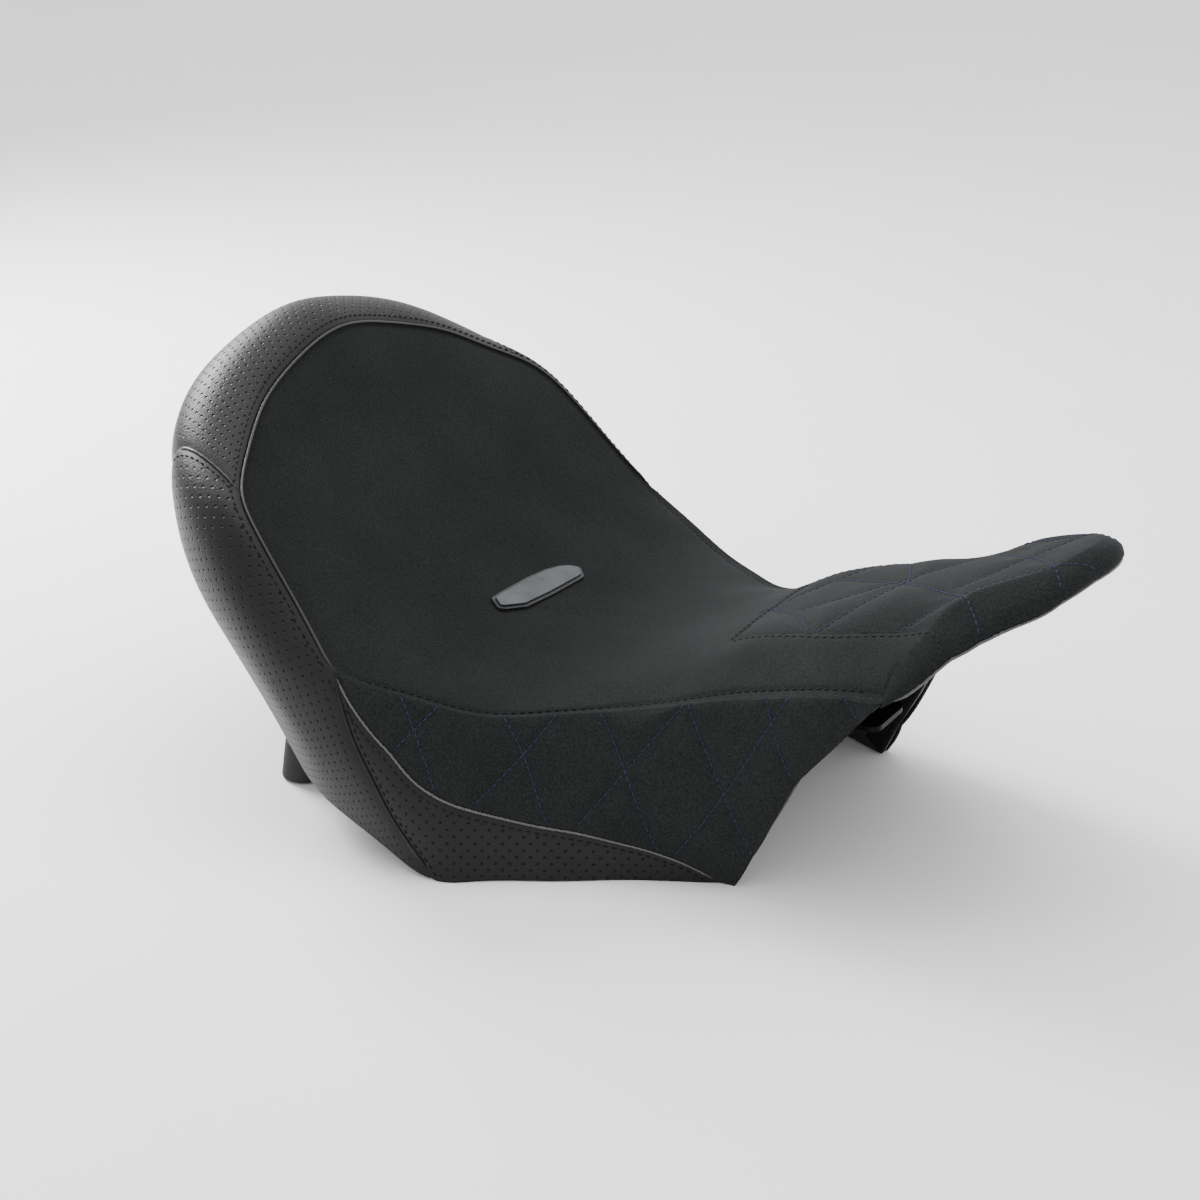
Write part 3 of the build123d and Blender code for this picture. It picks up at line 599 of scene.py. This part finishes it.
def leather(name, pits, gloss=0.2, roughness=0.34):
    """Black grained leather, worn smoother where the grain stands proud, with punched holes if pits, their
    dark insides painted shade.
    """
    made, tree, shader, where = start(name, Roughness=0.4)
    shader.inputs["Specular IOR Level"].default_value = gloss
    cells = node(tree, "ShaderNodeTexVoronoi", {"Vector": where, "Scale": 620.0}, feature="DISTANCE_TO_EDGE")
    grain = math_node(tree, "MINIMUM", math_node(tree, "MULTIPLY", cells.outputs["Distance"], 3.0), 0.5)
    fine = noise(tree, where, 1500.0, 3.0, 0.6)
    creases = noise(tree, where, 38.0, 4.0, 0.6)
    worn = noise(tree, where, 24.0, 4.0, 0.6)
    tone = ramp(tree, worn, (0.3, (0.0045, 0.0043, 0.0041)), (0.75, (0.0078, 0.0073, 0.0069)))
    layers = [(creases, 0.0009, 0.3), (grain, 0.00022, 0.55), (fine, 0.0001, 0.35)]
    rough = math_node(tree, "MULTIPLY_ADD", fine, 0.22, roughness)
    if pits:
        place = node(tree, "ShaderNodeUVMap", uv_map="pits").outputs["UV"]
        away = node(tree, "ShaderNodeAttribute", attribute_name="away").outputs["Fac"]
        spans = []
        for shift in (0.0, 0.5):
            moved = vector_math(tree, "ADD", 0, place, (shift, shift, 0))
            cell = vector_math(tree, "WRAP", 0, moved, (0.5, 0.5, 0.5), (-0.5, -0.5, -0.5))
            spans.append(vector_math(tree, "LENGTH", "Value", cell))
        span = math_node(tree, "MINIMUM", *spans)
        hole = eased_range(tree, span, 0.05, 0.09, 1.0, 0.0)
        clear = node(tree, "ShaderNodeMapRange", {"Value": away, 1: 4.2, 2: 4.8, 3: 0.0, 4: 1.0}).outputs[0]
        hole = math_node(tree, "MULTIPLY", hole, clear)
        dimple = eased_range(tree, span, 0.05, 0.15, 0.0, 1.0)
        dimple = math_node(tree, "MAXIMUM", dimple, math_node(tree, "SUBTRACT", 1.0, clear))
        layers.append((dimple, 0.0009, 0.9))
        # Near-black colour in the holes: painted shade inside the punched holes.
        hole_shade_colour = (0.0015, 0.0015, 0.0015, 1)
        tone = node(tree, "ShaderNodeMix", {0: hole, 6: tone, 7: hole_shade_colour}, data_type="RGBA").outputs[2]
        rough = math_node(tree, "MAXIMUM", rough, math_node(tree, "MULTIPLY", hole, 0.95))
    link(tree, tone, shader.inputs["Base Color"])
    link(tree, rough, shader.inputs["Roughness"])
    bump(tree, shader, layers)
    return made


def thread(name, dark, light):
    """Twisted polyester thread."""
    made, tree, shader, where = start(name, Roughness=0.75)
    shader.inputs["Specular IOR Level"].default_value = 0.15
    twist = noise(tree, where, 1800.0, 2.0, 0.5)
    link(tree, ramp(tree, twist, (0.3, dark), (0.7, light)), shader.inputs["Base Color"])
    bump(tree, shader, [(twist, 0.0001, 0.6)])
    return made


def moulded(name, dark, light, roughness, grain, depth):
    """Moulded plastic, rubber or foam with an even grain and faint streaks."""
    made, tree, shader, where = start(name)
    spark = noise(tree, where, grain, 3.0, 0.6)
    streak = noise(tree, where, 9.0, 5.0, 0.65)
    link(tree, ramp(tree, streak, (0.3, dark), (0.7, light)), shader.inputs["Base Color"])
    link(tree, math_node(tree, "MULTIPLY_ADD", spark, 0.2, roughness - 0.1), shader.inputs["Roughness"])
    bump(tree, shader, [(streak, 0.0008, 0.15), (spark, depth, 0.4)])
    return made


def metal(name, dark, light, roughness, grain, stretch=1.0):
    """Plated or brushed metal with fine scratches along Y and duller patches."""
    made, tree, shader, where = start(name, Metallic=1.0)
    drawn = node(tree, "ShaderNodeMapping", {"Vector": where, "Scale": (1.0, stretch, 1.0)}).outputs[0]
    scratch = noise(tree, drawn, grain, 3.0, 0.7)
    patch = noise(tree, where, 60.0, 4.0, 0.6)
    link(tree, ramp(tree, patch, (0.3, dark), (0.7, light)), shader.inputs["Base Color"])
    link(tree, math_node(tree, "MULTIPLY_ADD", scratch, 0.25, roughness - 0.12), shader.inputs["Roughness"])
    bump(tree, shader, [(scratch, 0.00008, 0.35)])
    return made


SUEDE = suede("suede", (0.006, 0.0065, 0.0066), (0.0195, 0.0208, 0.021))
# A lighter copy of the suede for the quilted nose and sides: painted light that offsets the shade on the side
# walls.
QUILTED_LIT_SUEDE = suede("quilted_suede", (0.0065, 0.0071, 0.0073), (0.0215, 0.023, 0.0235))
PERFORATED = leather("perforated_leather", True)
LEATHER = leather("plain_leather", False)
FOLDED = leather("folded_leather", False, 1.0, 0.16)
EDGE = leather("edge_leather", False, 0.5, 0.26)
NAVY_THREAD = thread("navy_thread", (0.006, 0.008, 0.019), (0.028, 0.036, 0.08))
BLACK_THREAD = thread("black_thread", (0.002, 0.002, 0.002), (0.008, 0.008, 0.0085))
CAD_LOOKS = {
    "trim_plastic": moulded(
        "trim_plastic", (0.003, 0.003, 0.0032), (0.006, 0.006, 0.006), 0.42, 700.0, 0.00003
    ),
    "badge_rubber": moulded(
        "badge_rubber", (0.006, 0.006, 0.0065), (0.012, 0.012, 0.013), 0.5, 900.0, 0.00005
    ),
    "badge_metal": metal("badge_metal", (0.075, 0.082, 0.088), (0.11, 0.118, 0.125), 0.5, 300.0, 0.05),
    "foam": moulded("foam", (0.03, 0.03, 0.032), (0.06, 0.06, 0.062), 0.95, 1400.0, 0.0004),
    "pan_plastic": moulded("pan_plastic", (0.005, 0.005, 0.0053), (0.01, 0.01, 0.0105), 0.7, 1100.0, 0.00008),
    "rubber": moulded("rubber", (0.004, 0.004, 0.004), (0.009, 0.009, 0.0088), 0.75, 800.0, 0.0001),
    "coated_steel": metal("coated_steel", (0.006, 0.006, 0.0065), (0.012, 0.012, 0.0125), 0.55, 900.0),
    "zinc_steel": metal("zinc_steel", (0.42, 0.43, 0.44), (0.58, 0.58, 0.57), 0.34, 500.0, 0.2),
    "insert_brass": metal("insert_brass", (0.5, 0.36, 0.16), (0.66, 0.5, 0.25), 0.32, 700.0),
    "plain_leather": LEATHER,
    "suede": SUEDE,
    "quilted_suede": QUILTED_LIT_SUEDE,
    "perforated_leather": PERFORATED,
}

# ------------------------------------------------------------------ pieces


def flatten(obj, place):
    """Lays the panel flat, as it was cut, to keep its rows of holes even. place is a rough layout in mm."""
    bpy.context.view_layer.objects.active = obj
    obj.select_set(True)
    bpy.ops.object.mode_set(mode="EDIT")
    bpy.ops.mesh.select_all(action="SELECT")
    bpy.ops.uv.unwrap(method="CONFORMAL", margin=0.0)
    bpy.ops.object.mode_set(mode="OBJECT")
    obj.select_set(False)
    uv = np.zeros(len(place) * 2, np.float32)
    layer = obj.data.uv_layers["pits"]
    layer.data.foreach_get("uv", uv)
    uv = uv.reshape(-1, 2).astype(float)
    uv, place = uv - uv.mean(0), place - place.mean(0)
    a, b, c = uv[0::3], uv[1::3], uv[2::3]
    flat_area = abs(np.cross(b - a, c - a)).sum() / 2
    true_area = sum(p.area for p in obj.data.polygons) * 1e6
    u, _, v = np.linalg.svd(uv.T @ place)
    uv = uv @ (u @ v) * math.sqrt(true_area / flat_area) / HOLE_PITCH
    layer.data.foreach_set("uv", uv.astype(np.float32).ravel())


def piece(name, vertices, faces, material, replaces=(), thickness=0.0, pits=None):
    """An object from vertices in mm. pits holds the hole pattern's place in mm and distance from seams."""
    mesh = bpy.data.meshes.new(name)
    mesh.vertices.add(len(vertices))
    mesh.vertices.foreach_set("co", (np.asarray(vertices) / 1000).astype(np.float32).ravel())
    mesh.loops.add(faces.size)
    mesh.loops.foreach_set("vertex_index", faces.astype(np.int32).ravel())
    mesh.polygons.add(len(faces))
    mesh.polygons.foreach_set("loop_start", np.arange(0, faces.size, faces.shape[1], dtype=np.int32))
    mesh.polygons.foreach_set("loop_total", np.full(len(faces), faces.shape[1], np.int32))
    mesh.update(calc_edges=True)
    mesh.validate()
    mesh.shade_smooth()
    if pits is not None:
        vertex_at = np.zeros(len(mesh.loops), np.int32)
        mesh.loops.foreach_get("vertex_index", vertex_at)
        mesh.uv_layers.new(name="pits")
        attribute = mesh.attributes.new("away", "FLOAT", "POINT")
        attribute.data.foreach_set("value", pits[:, 2].astype(np.float32))
    mesh.materials.append(material)
    obj = bpy.data.objects.new(name, mesh)
    bpy.context.scene.collection.objects.link(obj)
    if pits is not None:
        flatten(obj, pits[vertex_at, :2])
    if thickness:
        shell = obj.modifiers.new("shell", "SOLIDIFY")
        shell.thickness, shell.offset, shell.use_even_offset = thickness / 1000, -1, False
    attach(obj, "root")
    if replaces:
        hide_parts(*replaces)
    return obj


def outward(faces, vertices, away_from):
    """Triangles wound so that their normals point away from a point."""
    a, b, c = (vertices[faces[:, i]] for i in range(3))
    turn = (np.cross(b - a, c - a) * (a - away_from)).sum()
    return faces if turn > 0 else faces[:, ::-1]


wall_u = np.cumsum(np.linalg.norm(np.diff(wall[:, 24], axis=0), axis=1))
wall_u = np.concatenate([[0], wall_u])
pattern = np.stack([np.repeat(wall_u, WALL_ROWS), down, seam_away], 1)
wall_data = np.concatenate([wall_out, pattern], 1)
wall_faces = outward(triangles(WALL_COLUMNS, WALL_ROWS), wall_out, np.array([0, 0, 80]))


def panel(name, fields, material, replaces):
    """The part of the wall where every field is above 0, as its own panel."""
    data, faces = np.column_stack([wall_data, *fields]), wall_faces
    first = wall_data.shape[1]
    for i in range(len(fields)):
        data, faces = clip(data, faces, data[:, first + i])
    data, faces = welded(data, faces)
    return piece(name, data[:, :3], faces, material, replaces, COVER, data[:, 3:6])


left, right = flat[:, 1] + 1e-6, -flat[:, 1] - 1e-6
for side, field in (("left", left), ("right", right)):
    quilted = panel(
        f"side_panel_{side}", [above_fold, field],
        QUILTED_LIT_SUEDE, [f"side_panel_{side}", f"quilt_backing_{side}"],
    )
    panel(
        f"lower_panel_{side}", [-above_fold, before_rim, field],
        PERFORATED, [f"lower_panel_{side}"],
    )
    beside_back = np.where(behind & (over_back < 0), -within_back, 1.0)
    rim = panel(
        f"rim_side_panel_{side}", [-above_fold, -before_rim, -rim_top_field, beside_back, field],
        PERFORATED, [f"rim_side_panel_{side}"],
    )
rim_top = panel("rim_top_panel", [rim_top_field], PERFORATED, ["rim_top_panel"])
on_back = np.where(behind, within_back, -1.0)
panel("back_panel", [on_back, -over_back], LEATHER, ["back_panel"])

# Top sheet with the edge of the nose.
top_faces = outward(triangles(*top.shape[:2]), top_out, np.array([0, 0, -300]))
nose_faces = outward(triangles(NOSE_COLUMNS, NOSE_ROWS), nose_out, np.array([150, 0, 100]))
top_vertices = np.concatenate([top_out, nose_out])
on_panel = np.concatenate([on_nose, on_nose_edge])
top_faces = np.concatenate([top_faces, nose_faces + len(top_out)])
near_edge = np.concatenate([
    np.clip(1 - from_edge / 12, 0, 1) * np.clip(column_at / 30 - 0.3, 0, 1) * (column_at < NOSE_MIDDLE - 20),
    np.clip((run[:, -1:] - run).ravel() / 14 - 0.3, 0, 1) * (sewn_nose == 0),
])
joined, top_faces = welded(np.column_stack([top_vertices, on_panel, near_edge]), top_faces)
top_vertices, on_panel = relaxed(joined[:, :3], top_faces, joined[:, 4:], EDGE_ROUNDS), joined[:, 3]
for name, field, look, label, hidden in (
    ("seat_panel", -on_panel, SUEDE, "suede", ["seat_panel", "foam_core"]),
    ("nose_panel", on_panel, QUILTED_LIT_SUEDE, "quilted_suede", ["nose_panel", "quilt_backing_nose"]),
):
    data, faces = welded(*clip(np.column_stack([top_vertices, on_panel]), top_faces, field))
    piece(name, data[:, :3], faces, look, hidden, COVER)

# ------------------------------------------------------------------ stitching and folded edges

wall_tree = BVHTree.FromPolygons(wall_out.tolist(), wall_faces.tolist())
top_tree = BVHTree.FromPolygons(top_vertices.tolist(), top_faces.tolist())


def laid(tree, points, direction):
    """Points dropped along a direction onto a surface, each with its normal."""
    hits = [tree.ray_cast(Vector(p) - Vector(direction) * 400, Vector(direction)) for p in points]
    hits = [(h[0], h[1]) for h in hits if h[0] is not None]
    places, ways = np.array([h[0] for h in hits]), np.array([h[1] for h in hits])
    facing = np.sign(-(ways @ np.array(direction)))[:, None]
    return places, ways * facing


def on_side_wall(line, side):
    """A line given as (x, z) on the left or right wall."""
    way = -1.0 if side == "left" else 1.0
    return laid(wall_tree, [(x, -way * 90, z) for x, z in line], (0, way, 0))


def resample(path, ways, step):
    """Points and normals every step along a path."""
    run = lengths(path)
    at = np.arange(0, run[-1], step)
    read = lambda v: np.stack([np.interp(at, run, v[:, i]) for i in range(3)], 1)
    return read(path), read(ways)


def stitches(name, paths, length, pitch, radius, lift, material):
    """Rows of stitches along paths, each a small bowed capsule that dips into the cover at its ends."""
    around = np.linspace(0, 2 * math.pi, 7)[:-1]
    sections = [
        (-0.5, 0.25, -0.9), (-0.36, 0.85, -0.1), (0.0, 1.0, 0.25), (0.36, 0.85, -0.1), (0.5, 0.25, -0.9),
    ]
    vertices, faces = [], []
    for path, ways in paths:
        if len(path) < 3:
            continue
        places, normals = resample(path, ways, 0.5)
        gap, half = max(int(pitch / 0.5 + 0.5), 1), max(int(length / 1.0 + 0.5), 1)
        for i in range(half + 1, len(places) - half, gap):
            along = places[i + half] - places[i - half]
            if np.linalg.norm(along) > length * 1.6:
                continue
            along = along / np.linalg.norm(along)
            up = normals[i] / np.linalg.norm(normals[i])
            up = up - (up @ along) * along
            up /= np.linalg.norm(up)
            across = np.cross(along, up)
            base = len(vertices)
            for place, size, rise_by in sections:
                centre = places[i] + along * place * length + up * (lift + rise_by * radius)
                for angle in around:
                    round_it = math.cos(angle) * across + 0.8 * math.sin(angle) * up
                    vertices.append(centre + radius * size * round_it)
            for ring_at in range(len(sections) - 1):
                for k in range(6):
                    a, b = base + ring_at * 6 + k, base + ring_at * 6 + (k + 1) % 6
                    faces.append((a, b, b + 6))
                    faces.append((a, b + 6, a + 6))
    return piece(name, np.array(vertices), np.array(faces), material)


def bead(name, path, ways, radius, material, slot, replaces=(), sink=0.3):
    """A folded edge: a fine tube lying on a path."""
    places, normals = resample(path, ways, 1.0)
    along = np.gradient(places, axis=0)
    along /= np.linalg.norm(along, axis=1, keepdims=True)
    across = np.cross(along, normals)
    across /= np.maximum(np.linalg.norm(across, axis=1, keepdims=True), 1e-9)
    up = np.cross(across, along)
    angles = np.linspace(0, 2 * math.pi, 9)[:-1]
    run = lengths(places)
    taper = np.clip(np.minimum(run, run[-1] - run) / 9, 0.1, 1)
    centre = places + up * radius * ((1 - 2 * sink) - (1 - taper))[:, None]
    spokes = [math.cos(a) * across * 1.15 + math.sin(a) * up for a in angles]
    tube = np.stack([centre + (radius * taper)[:, None] * spoke for spoke in spokes], 1)
    index = np.arange(tube.shape[0] * 8).reshape(-1, 8)
    a, b = index[:-1], np.roll(index, -1, 1)[:-1]
    c, d = np.roll(index, -1, 1)[1:], index[1:]
    quads = np.stack([a, d, c, b], -1).reshape(-1, 4)
    return piece(name, tube.reshape(-1, 3), quads, material, replaces)


def shifted(line, by):
    """A flat line moved sideways to its left."""
    way = np.gradient(line, axis=0)
    way /= np.linalg.norm(way, axis=1, keepdims=True)
    return line + by * np.stack([-way[:, 1], way[:, 0]], 1)


quilt_paths, leather_paths = [], []
fold_z_at = lambda x: np.interp(x, fold_x, fold_z, right=-30)
for side in ("left", "right"):
    for line in SIDE_QUILTING:
        fine = smooth(line, 120)
        fine = fine[fine[:, 1] > fold_z_at(fine[:, 0]) + 1.5]
        quilt_paths.append(on_side_wall(fine, side))
    fold = smooth(FOLD_SEAM, 300)
    bead(f"fold_bead_{side}", *on_side_wall(fold, side), 0.7, FOLDED, "plain_leather", [f"fold_bead_{side}"])
    leather_paths.append(on_side_wall(shifted(fold, -3.0), side))
    rim_line = smooth(RIM_SEAM, 200)
    bead(f"rim_edge_{side}", *on_side_wall(rim_line, side), 0.7, LEATHER, "plain_leather")
    leather_paths.append(on_side_wall(shifted(rim_line, 3.0), side))
for sign in (1, -1):
    for line in nose_curves:
        fine = smooth(line, 120)
        half = np.interp(fine[:, 0], panel_curve[:, 0], panel_curve[:, 1])
        fine = fine[abs(fine[:, 1]) < half - 1]
        quilt_paths.append(laid(top_tree, [(x, sign * y, 200) for x, y in fine], (0, 0, -1)))
stitches("quilting_thread", quilt_paths, 3.2, 4.2, 0.42, 0.15, NAVY_THREAD)

# Edge of the rim leather where it laps over the suede, with its own row of stitches.
wall_grid = wall_out.reshape(WALL_COLUMNS, WALL_ROWS, 3)
up_grid = wall_normal
around_back = slice(corner, WALL_COLUMNS - corner)
row_depth = down.reshape(WALL_COLUMNS, WALL_ROWS)
bead("rim_edge_top", wall_grid[around_back, 0], up_grid[around_back, 1], 0.7, EDGE, "plain_leather", sink=0.1)
near = np.array([np.searchsorted(row_depth[i], 4.0) for i in range(WALL_COLUMNS)])
pick = np.arange(corner + 3, WALL_COLUMNS - corner - 3)
leather_paths.append((wall_grid[pick, near[pick]], up_grid[pick, near[pick]]))

# Hem that folds under the edge of the nose.
hem = nose_out.reshape(NOSE_COLUMNS, NOSE_ROWS, 3)[4:-4, -2]
hem = [top_tree.find_nearest(Vector(place))[:2] for place in hem]
bead("nose_edging", *np.swapaxes(hem, 0, 1), 1.0, FOLDED, "trim_plastic", ["nose_trim"], sink=0.2)

# Top stitch that follows the side seam on the suede, from the rim to the shoulder.
for sign in (1, -1):
    edge = ring[len(nose_half) : len(nose_half) + corner, :2]
    inset = shifted(edge, TOPSTITCH_INSET)
    if abs(inset[len(inset) // 2, 1]) > abs(edge[len(edge) // 2, 1]):
        inset = shifted(edge, -TOPSTITCH_INSET)
    leather_paths.append(laid(top_tree, [(x, sign * y, 200) for x, y in inset[4:-6]], (0, 0, -1)))
    panel_line = panel_curve[panel_curve[:, 0] < 208]
    leather_paths.append(laid(top_tree, [(x, sign * (y + 2.5), 200) for x, y in panel_line], (0, 0, -1)))
rear_edge = np.stack([np.full(60, NOSE_PANEL_REAR - 2.5), np.linspace(-46, 46, 60)], 1)
leather_paths.append(laid(top_tree, [(x, y, 200) for x, y in rear_edge], (0, 0, -1)))

# Cross seam over the rim: the leather's folded edge, and stitches behind it.
cells = np.where(behind, over_cross, 99.0).reshape(WALL_COLUMNS, WALL_ROWS)


def level_line(columns, level):
    """Path over the rim where the distance from the cross seam is level, one point a column."""
    found = []
    for i in columns:
        signs = np.sign(cells[i] - level)
        for j in np.nonzero(signs[:-1] * signs[1:] < 0)[0][:1]:
            w = (cells[i, j] - level) / (cells[i, j] - cells[i, j + 1])
            place = wall_grid[i, j] * (1 - w) + wall_grid[i, j + 1] * w
            if place[2] > BACK_TOP:
                found.append((place, up_grid[i, j]))
    return np.array([f[0] for f in found]), np.array([f[1] for f in found])


first = int(np.argmin(np.linalg.norm(wall[: WALL_COLUMNS // 2, 0] - CROSS_SEAM_START, axis=1)))
middle_column = WALL_COLUMNS // 2
from_left, from_right = range(first, middle_column), range(WALL_COLUMNS - first - 1, middle_column, -1)
for side, columns in (("left", from_left), ("right", from_right)):
    bead(f"cross_edge_{side}", *level_line(columns, 0.0), 0.7, EDGE, "plain_leather")
    leather_paths.append(level_line(columns, -3.2))
stitches("seam_thread", leather_paths, 3.0, 4.4, 0.45, 0.15, BLACK_THREAD)

# ------------------------------------------------------------------ carried CAD parts

slots = {part["node"]: part["material_slot"] for part in frame["record"]["subparts"]}
for name, obj in frame["nodes"].items():
    if obj.hide_render:
        continue
    obj.data.materials.clear()
    obj.data.materials.append(CAD_LOOKS[slots[name]])

# ------------------------------------------------------------------ stage


def board(name, corners, material):
    mesh = bpy.data.meshes.new(name)
    mesh.from_pydata(corners, [], [(0, 1, 2, 3)])
    mesh.materials.append(material)
    obj = bpy.data.objects.new(name, mesh)
    bpy.context.scene.collection.objects.link(obj)


floor_look, tree, shader, where = start("floor", Roughness=0.7)
link(tree, ramp(tree, noise(tree, where, 3.0), (0.3, 0.86), (0.7, 0.9)), shader.inputs["Base Color"])
board("floor", [(-8, -8, -0.0005), (8, -8, -0.0005), (8, 8, -0.0005), (-8, 8, -0.0005)], floor_look)

world = bpy.data.worlds.new("studio")
bpy.context.scene.world = world
world.use_nodes = True
world.node_tree.nodes["Background"].inputs["Color"].default_value = (1, 1, 1, 1)
world.node_tree.nodes["Background"].inputs["Strength"].default_value = 1.5


def lamp(name, place, target, size, power):
    data = bpy.data.lights.new(name, "AREA")
    data.shape, data.size, data.size_y, data.energy = "RECTANGLE", size[0], size[1], power
    obj = bpy.data.objects.new(name, data)
    bpy.context.scene.collection.objects.link(obj)
    obj.location = place
    obj.rotation_euler = (Vector(target) - Vector(place)).to_track_quat("-Z", "Y").to_euler()


lamp("key", (-1.2, 0.3, 0.8), (-0.15, 0, 0.12), (0.5, 0.5), 38)
lamp("overhead", (-0.1, 0.3, 1.9), (0, 0, 0.1), (1.6, 1.2), 24)

camera = bpy.data.objects.new("camera", bpy.data.cameras.new("camera"))
bpy.context.scene.collection.objects.link(camera)
bpy.context.scene.camera = camera
TARGET, DISTANCE = Vector((-0.029, 0, 0.097)), 1.3889
AZIMUTH, ELEVATION = math.radians(31), math.radians(22.5)
level = math.cos(ELEVATION)
back = Vector((math.sin(AZIMUTH) * level, -math.cos(AZIMUTH) * level, math.sin(ELEVATION)))
camera.location = TARGET + back * DISTANCE
camera.rotation_euler = (-back).to_track_quat("-Z", "Y").to_euler()
camera.data.lens, camera.data.sensor_width = 75, 36
